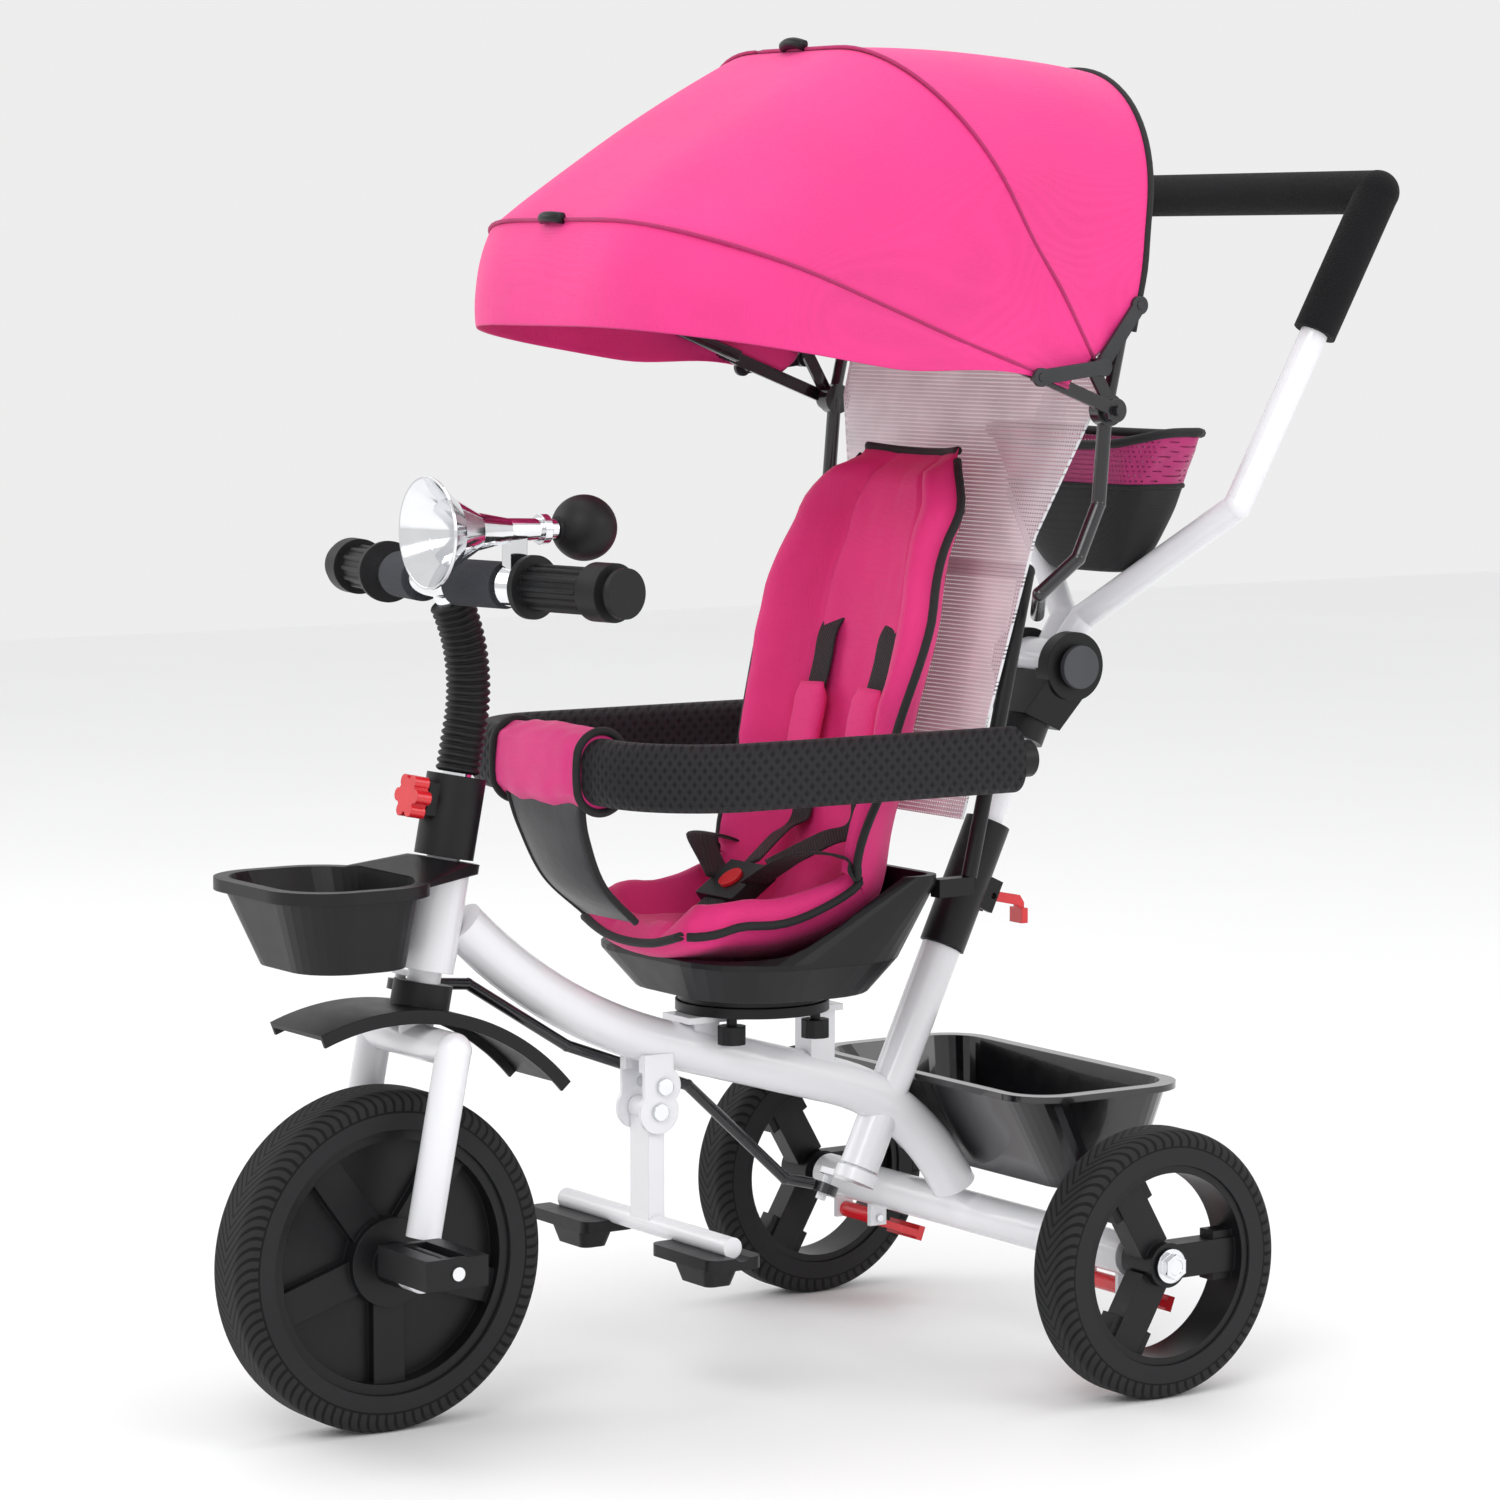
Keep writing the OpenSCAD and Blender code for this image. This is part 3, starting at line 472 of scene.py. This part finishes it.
def between(s, t, first, last, start, puff, sag):
    """The cloth between two bows: nearly straight from one to the other, a little crowned."""
    (l0, a0), (l1, a1) = first, last
    p = bow_point(l0, a0, s, start[0]).lerp(bow_point(l1, a1, s, start[1]), t)
    q = bow_point(l0 + (l1 - l0) * t, a0 + (a1 - a0) * t, s, start[0] + (start[1] - start[0]) * t)
    top = sin(pi * s)
    out = p.lerp(q, puff * top)
    ripple = noise.noise(Vector((s * 9, t * 2.2, a0))) * 0.003 * sin(pi * t)
    centre = at(0, PIVOT[0], PIVOT[1])
    return out + (out - centre).normalized() * (ripple - sag * sin(pi * t) * (1 - 0.6 * top))


def cover(name, first, last, start, columns, puff=0.34, sag=0.004):
    points = []
    for j in range(columns):
        for i in range(RINGS):
            points.append(between(i / (RINGS - 1), j / (columns - 1), first, last, start, puff, sag))
    faces = grid_faces(columns, RINGS)
    return piece(name, points, faces, pink_cloth, thick=CLOTH, subdivide=1)


def bow_line(bow, start, lift=0.0, count=73):
    length, angle = bow
    return [bow_point(length, angle, i / (count - 1), start, SKIN_OUT + lift) for i in range(count)]


FOOT = {"rear": 0.060, "mid": 0.045, "front": 0.050}
MIDDLE = at(0, PIVOT[0], PIVOT[1])


rear_cover = cover("canopy_cover_rear", BOWS["rear"], BOWS["mid"], (FOOT["rear"], FOOT["mid"]), 15)
front_cover = cover("canopy_cover_front", BOWS["mid"], BOWS["front"], (FOOT["mid"], FOOT["front"]), 15)
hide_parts("cover_rear")
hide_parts("cover_front")
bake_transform(rear_cover)
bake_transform(front_cover)
for panel, first, last in ((rear_cover, "rear", "mid"), (front_cover, "mid", "front")):
    lines = [bow_line(BOWS[first], FOOT[first]), bow_line(BOWS[last], FOOT[last])]


def visor():
    """The skirt that hangs from the front bow, narrowing to nothing at the bow's feet."""
    points = []
    rows = 9
    length, angle = BOWS["front"]
    for j in range(rows):
        t = j / (rows - 1)
        for i in range(RINGS):
            s = i / (RINGS - 1)
            depth = 10.5 * smooth(min(s, 1 - s) / 0.16) + 1.0
            p = bow_point(length - 0.006 * t, angle + depth * t, s, FOOT["front"], SKIN_OUT)
            flare = 0.004 * sin(pi * t) * sin(pi * s)
            p += (p - MIDDLE).normalized() * (flare + 0.002 * noise.noise(Vector((s * 14, t * 2, 3))))
            points.append(p)
    return piece(
        "canopy_visor", points, grid_faces(rows, RINGS), pink_cloth, "canopy_front",
        thick=CLOTH, subdivide=1,
    )


visor()
SEAM_UP = (1, 0, 0.01)
for word in ("mid", "front"):
    line = bow_line(BOWS[word], FOOT[word], 0.0012)
    cord("canopy_seam_" + word, line, 0.0016, seam, "canopy_" + word, SEAM_UP)
line = bow_line(BOWS["rear"], FOOT["rear"], 0.0004)
cord("canopy_binding_rear", line, 0.0026, piping, "seat", SEAM_UP)


def clip_section(i, a):
    return 0.0052 * cos(a) * (0.6 + 0.4 * sin(pi * i / 8)), 0.0042 * sin(a)


def clip(word):
    """A small moulded clip that holds the cloth to the top of a bow."""
    length, angle = BOWS[word]
    a = radians(angle)
    top = at(0, PIVOT[0] + (length + 0.0115) * cos(a), PIVOT[1] + (length + 0.0115) * sin(a))
    side = Vector((1, 0, 0))
    out = Vector((0, cos(a), sin(a)))
    path = [top + side * (0.015 * (k / 8 - 0.5) * 2) + out * 0.003 * sin(pi * k / 8) for k in range(9)]
    body = "canopy_" + word
    sweep("canopy_clip_" + word, path, clip_section, black_plastic, body, sides=16)


for word in ("mid", "front"):
    clip(word)

# ---------------------------------------------------------------- seat pad

SPINE = [(0.214, 0.343), (0.250, 0.333), (0.320, 0.328), (0.385, 0.335), (0.418, 0.372), (0.428, 0.430),
         (0.440, 0.500), (0.452, 0.570), (0.468, 0.640), (0.487, 0.706)]
SPAN = [(0, 0.070), (0.10, 0.092), (0.30, 0.104), (0.45, 0.106), (0.62, 0.112), (0.78, 0.121),
        (0.90, 0.104), (1, 0.062)]
WING = [(0, 0.012), (0.15, 0.030), (0.35, 0.060), (0.5, 0.066), (0.62, 0.052), (0.8, 0.040), (1, 0.012)]
SPLIT = 0.60
spine = curve([at(0, y, z) for y, z in SPINE], 6)
spine_frames = frames(spine, (0, -1, 1))


def pad_point(u, v, inside):
    """u runs across from -1 to 1, v from the front edge at 0 to the top of the back at 1."""
    k = v * (len(spine) - 1)
    i = min(int(k), len(spine) - 2)
    p = spine[i].lerp(spine[i + 1], k - i)
    normal = spine_frames[i][2].lerp(spine_frames[i + 1][2], k - i).normalized()
    half = ramp(SPAN, v)
    edge = min(smooth((1 - abs(u)) / 0.16), smooth(v / 0.045), smooth((1 - v) / 0.05))
    wing = ramp(WING, v) * abs(u) ** 2.2
    crown = 0.5 + 0.5 * cos(pi * (abs(u) - 0.74) / 0.26) if 0.48 < abs(u) <= 1 else 0
    body = 0.020 + 0.010 * crown
    quilt = -0.007 * (max(0, 1 - abs(abs(u) - 0.47) / 0.06) + max(0, 1 - abs(v - SPLIT) / 0.018))
    crease = 0.0022 * noise.noise(Vector((u * 4.5, v * 13, 1.7)))
    crease += 0.0012 * noise.noise(Vector((u * 11, v * 30, 4)))
    height = wing + (body * edge + (quilt + crease) * edge if inside else -0.006 * edge)
    return p + Vector((1, 0, 0)) * (half * u * (1 - 0.10 * abs(u) * wing / 0.06)) + normal * height


def seat_pad():
    across, along = 41, 73
    points = []
    for inside in (True, False):
        for j in range(along):
            for i in range(across):
                points.append(pad_point(2 * i / (across - 1) - 1, j / (along - 1), inside))
    front = grid_faces(along, across)
    shift = across * along
    back = [tuple(k + shift for k in face[::-1]) for face in front]
    rim = [j * across for j in range(along)] + [(along - 1) * across + i for i in range(1, across)]
    rim += [j * across + across - 1 for j in range(along - 2, -1, -1)] + list(range(across - 2, 0, -1))
    wall = [(a, b, b + shift, a + shift) for a, b in zip(rim, rim[1:] + rim[:1])]
    obj = piece("seat_liner", points, front + back + wall, pink_pad, "seat")
    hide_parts("seat_pad")


def liner_piping(word, line, radius=0.0034):
    cord("liner_piping_" + word, line, radius, piping, "seat", (0, -1, 1))


seat_pad()
for side, word in ((-1, "right"), (1, "left")):
    liner_piping(word, [pad_point(side * 0.995, k / 60, True) for k in range(1, 60)])
liner_piping("top", [pad_point(-0.995 + 1.99 * k / 24, 0.996, True) for k in range(25)])
liner_piping("front", [pad_point(-0.995 + 1.99 * k / 24, 0.004, True) for k in range(25)])
liner_piping("middle", [pad_point(-0.985 + 1.97 * k / 40, SPLIT, True) for k in range(41)], 0.0032)

# ---------------------------------------------------------------- harness


def on_pad(u, v, lift=0.004):
    return pad_point(u, v, True) + (pad_point(u, v, True) - pad_point(u, v, False)).normalized() * lift


def strap(name, path, width=0.024, thick=0.0022, up=(0, -1, 0.6), look=webbing):
    return sweep(name, path, strap_section(width, thick), look, "seat", up, sides=16)


buckle_low, buckle_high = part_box("buckle")
buckle = Vector([(a + b) / 2 for a, b in zip(buckle_low, buckle_high)])
for side, word in ((1, "left"), (-1, "right")):
    shoulder = [on_pad(side * 0.33, 0.80, -0.012), on_pad(side * 0.34, 0.765, 0.001),
                on_pad(side * 0.34, 0.72), on_pad(side * 0.34, 0.62, 0.010), on_pad(side * 0.34, 0.54),
                buckle + Vector((side * 0.030, 0.060, 0.034)), buckle + Vector((side * 0.014, 0.022, 0.014))]
    strap(f"shoulder_strap_{word}", curve(shoulder, 8))
    hip = [on_pad(side * 0.97, 0.33, 0.0), on_pad(side * 0.84, 0.31, 0.008),
           buckle + Vector((side * 0.070, 0.014, 0.030)), buckle + Vector((side * 0.022, 0.000, 0.004))]
    strap(f"hip_strap_{word}", curve(hip, 8), up=(0, 0.2, 1))
crotch = [on_pad(0, 0.14, 0.0), on_pad(0, 0.17, 0.016), buckle + Vector((0, -0.016, -0.008))]
strap("crotch_strap", curve(crotch, 8), width=0.030, up=(0, -0.5, 1))
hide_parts("harness")


def shoulder_pad(side, word):
    path = [on_pad(side * 0.34, 0.70 - 0.13 * k / 20, 0.011) for k in range(21)]

    def section(i, a):
        end = smooth(min(i, 20 - i) / 3)
        c, s = cos(a), sin(a)
        width = 0.018 * (0.82 + 0.18 * end)
        return width * abs(c) ** 0.5 * (1 if c > 0 else -1), 0.0065 * (0.35 + 0.65 * end) * s

    name = f"shoulder_pad_{word}"
    return sweep(name, path, section, pink_pad, "seat", (0, -1, 0.6), sides=20)


pads = [shoulder_pad(1, "left"), shoulder_pad(-1, "right")]
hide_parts("shoulder_pads")

# ---------------------------------------------------------------- guard ring cover

ring_low, ring_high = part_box("guard_ring")
RING_Y = ring_low[1] + 0.017
RING_Z = (ring_low[2] + ring_high[2]) / 2
WRAP_W = 0.0205
WRAP_H = 0.0290


def wrap_section(puff=0.0):
    def section(i, a):
        c, s = cos(a), sin(a)
        return (WRAP_W + puff) * c, (WRAP_H + puff - WRAP_W) * (1 if s > 0 else -1) * min(1, abs(s) * 3) + (
            WRAP_W + puff
        ) * s

    return section


wrap_path = [Vector((0.060 - 0.120 * k / 24, RING_Y, RING_Z)) for k in range(25)]


def wrap_shape(i, a):
    puff = 0.0014 * sin(pi * i / 24) + 0.0012 * noise.noise(Vector((i * 0.3, cos(a) * 2, sin(a) * 2)))
    return wrap_section(puff)(i, a)


wrap = sweep("ring_wrap", wrap_path, wrap_shape, pink_cloth, "ring", sides=40)
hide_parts("ring_cover")


def wrap_edge(x):
    section = wrap_section(0.0006)
    out = []
    for k in range(40):
        a, b = section(0, 2 * pi * k / 40)
        out.append(Vector((x, RING_Y + a, RING_Z + b)))
    return out


for x, word in ((0.060, "left"), (-0.060, "right")):
    name = f"ring_wrap_binding_{word}"
    cord(name, wrap_edge(x), 0.0032, piping, "ring", (1, 0, 0), closed=True)

flap_top = Vector((0, RING_Y - 0.012, RING_Z - 0.022))
flap_path = curve([flap_top, at(0, 0.150, 0.430), at(0, 0.168, 0.392), at(0, 0.200, 0.362)], 8)


def flap_half(i):
    """Half the flap's width at a point of its path."""
    return 0.052 - 0.016 * (i / (len(flap_path) - 1))


def crotch_flap():
    points = []
    across = 15
    count = len(flap_path)
    for i, (p, _, normal) in enumerate(frames(flap_path, (0, -1, 0.3))):
        t = i / (count - 1)
        half = flap_half(i)
        for k in range(across):
            u = 2 * k / (across - 1) - 1
            points.append(p + Vector((half * u, 0, 0)) + normal * (0.006 * (1 - u * u) * sin(pi * t)))
    faces = grid_faces(count, across)
    piece("crotch_flap", points, faces, vinyl, "ring", thick=0.003, subdivide=1)


crotch_flap()
for side, word in ((1, "left"), (-1, "right")):
    line = [p + Vector((side * flap_half(i), 0, 0)) for i, p in enumerate(flap_path)]
    cord(f"flap_binding_{word}", line, 0.0028, piping, "ring", (0, -1, 0.3))

# ---------------------------------------------------------------- parent bag

bag_low, bag_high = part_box("parent_bag")
BAG = [(a + b) / 2 for a, b in zip(bag_low, bag_high)]
BAG_ROWS = 27
BAG_SIDES = 64


def bag_point(t, a):
    """t runs from the middle of the floor at 0 to the rim at 1."""
    half_x = (bag_high[0] - bag_low[0]) / 2
    half_y = (bag_high[1] - bag_low[1]) / 2
    rise = max(0.0, (t - 0.16) / 0.84)
    spread = smooth(t / 0.16) * (0.36 + 0.64 * rise**0.62)
    c, s = cos(a), sin(a)
    x = half_x * spread * abs(c) ** 0.55 * (1 if c > 0 else -1)
    y = half_y * spread * abs(s) ** 0.62 * (1 if s > 0 else -1)
    sag = 0.014 * rise**6 * (0.5 + 0.5 * cos(2 * a + pi)) * (1 if s < 0 else 0.35)
    crease = 0.0024 * noise.noise(Vector((3 * c, 3 * s, t * 5))) * rise
    z = bag_low[2] + 0.002 + (bag_high[2] - bag_low[2] - 0.004) * rise - sag
    scale = 1 + crease / half_y
    return Vector((BAG[0] + x * scale, BAG[1] + y * scale, z))


def bag_band(name, first, last, look, thick):
    rows = [first + (last - first) * j / (BAG_ROWS - 1) for j in range(BAG_ROWS)]
    points = [bag_point(t, 2 * pi * k / BAG_SIDES) for t in rows for k in range(BAG_SIDES)]
    faces = grid_faces(BAG_ROWS, BAG_SIDES, wrap=True)
    if first == 0:
        faces.append(tuple(range(BAG_SIDES))[::-1])
    return piece(name, points, faces, look, "handle", thick=thick)


bag_lower = bag_band("bag_lower", 0.0, 0.66, black_cloth, 0.0016)
bag_band("bag_net", 0.65, 0.95, pink_net, 0.0009)
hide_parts("parent_bag")
for t, word, radius in ((0.66, "seam", 0.0024), (0.97, "rim", 0.0036)):
    line = [bag_point(t, 2 * pi * k / BAG_SIDES) for k in range(BAG_SIDES)]
    cord("bag_" + word, line, radius, piping, "handle", closed=True)

# ---------------------------------------------------------------- handlebar stem sleeve

LEAN = radians(11)
neck_start = (0.0756, 0.5147)
NECK_R = 0.143
neck_centre = (neck_start[0] - NECK_R * cos(LEAN), neck_start[1] + NECK_R * sin(LEAN))
NECK_END = asin((0.620 - neck_centre[1]) / NECK_R) - radians(7)
sleeve_path = []
STRAIGHT = 60
for k in range(STRAIGHT):
    d = 0.359 + (0.396 - 0.359) * k / STRAIGHT
    sleeve_path.append(at(0, d * sin(LEAN), 0.126 + d * cos(LEAN)))
BENT = 130
for k in range(BENT + 1):
    a = -LEAN + (NECK_END + LEAN) * k / BENT
    sleeve_path.append(at(0, neck_centre[0] + NECK_R * cos(a), neck_centre[1] + NECK_R * sin(a)))
sleeve_length = [0.0]
for a, b in zip(sleeve_path, sleeve_path[1:]):
    sleeve_length.append(sleeve_length[-1] + (b - a).length)
RIB = 0.0052


def sleeve_section(i, a):
    ridge = abs(sin(pi * sleeve_length[i] / RIB)) ** 0.7
    radius = 0.0136 + 0.0028 * ridge
    return radius * cos(a), radius * sin(a)


bellows = sweep(
    "bellows_sleeve", sleeve_path, sleeve_section, rubber, "steering", (1, 0, 0), sides=32
)
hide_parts("stem_sleeve")

# ---------------------------------------------------------------- floor, light and camera


def floor():
    bpy.ops.mesh.primitive_plane_add(size=14, location=(0, 0, 0))
    obj = bpy.context.active_object
    obj.name = "floor"
    m = Mat("floor_paper", (0.93, 0.93, 0.935), 0.55)
    m.vary(m.noise(1.2, 3), 0.99, 1.01).bump(m.noise(60, 3), 0.0003, 0.2)
    obj.data.materials.append(m.mat)


def area_light(name, place, target, size, power):
    data = bpy.data.lights.new(name, "AREA")
    data.shape = "DISK"
    data.size = size
    data.energy = power
    obj = bpy.data.objects.new(name, data)
    bpy.context.collection.objects.link(obj)
    obj.location = place
    obj.rotation_euler = (Vector(target) - Vector(place)).to_track_quat("-Z", "Y").to_euler()


floor()
AIM = at(0, 0.325, 0.481)
area_light("key", (2.6, -3.0, 3.2), AIM, 2.6, 66)
area_light("fill", (3.4, 2.2, 2.2), AIM, 2.4, 30)
area_light("left", (-2.6, -2.4, 2.2), AIM, 2.6, 30)
area_light("top", (0, 0.4, 4.0), AIM, 3.0, 36)

world = bpy.data.worlds.new("studio")
bpy.context.scene.world = world
world.use_nodes = True
world.node_tree.nodes["Background"].inputs["Color"].default_value = (1, 1, 1, 1)
world.node_tree.nodes["Background"].inputs["Strength"].default_value = 0.85

AZIMUTH = radians(56.6)
ELEVATION = radians(5.7)
DISTANCE = 3.748
camera_data = bpy.data.cameras.new("camera")
camera_data.lens = 118.4
camera_data.sensor_width = 36
camera = bpy.data.objects.new("camera", camera_data)
bpy.context.collection.objects.link(camera)
look_from = Vector((cos(ELEVATION) * sin(AZIMUTH), -cos(ELEVATION) * cos(AZIMUTH), sin(ELEVATION)))
camera.location = AIM + DISTANCE * look_from
camera.rotation_euler = look_from.to_track_quat("Z", "Y").to_euler()
bpy.context.scene.camera = camera
bpy.context.scene.view_settings.view_transform = "Standard"
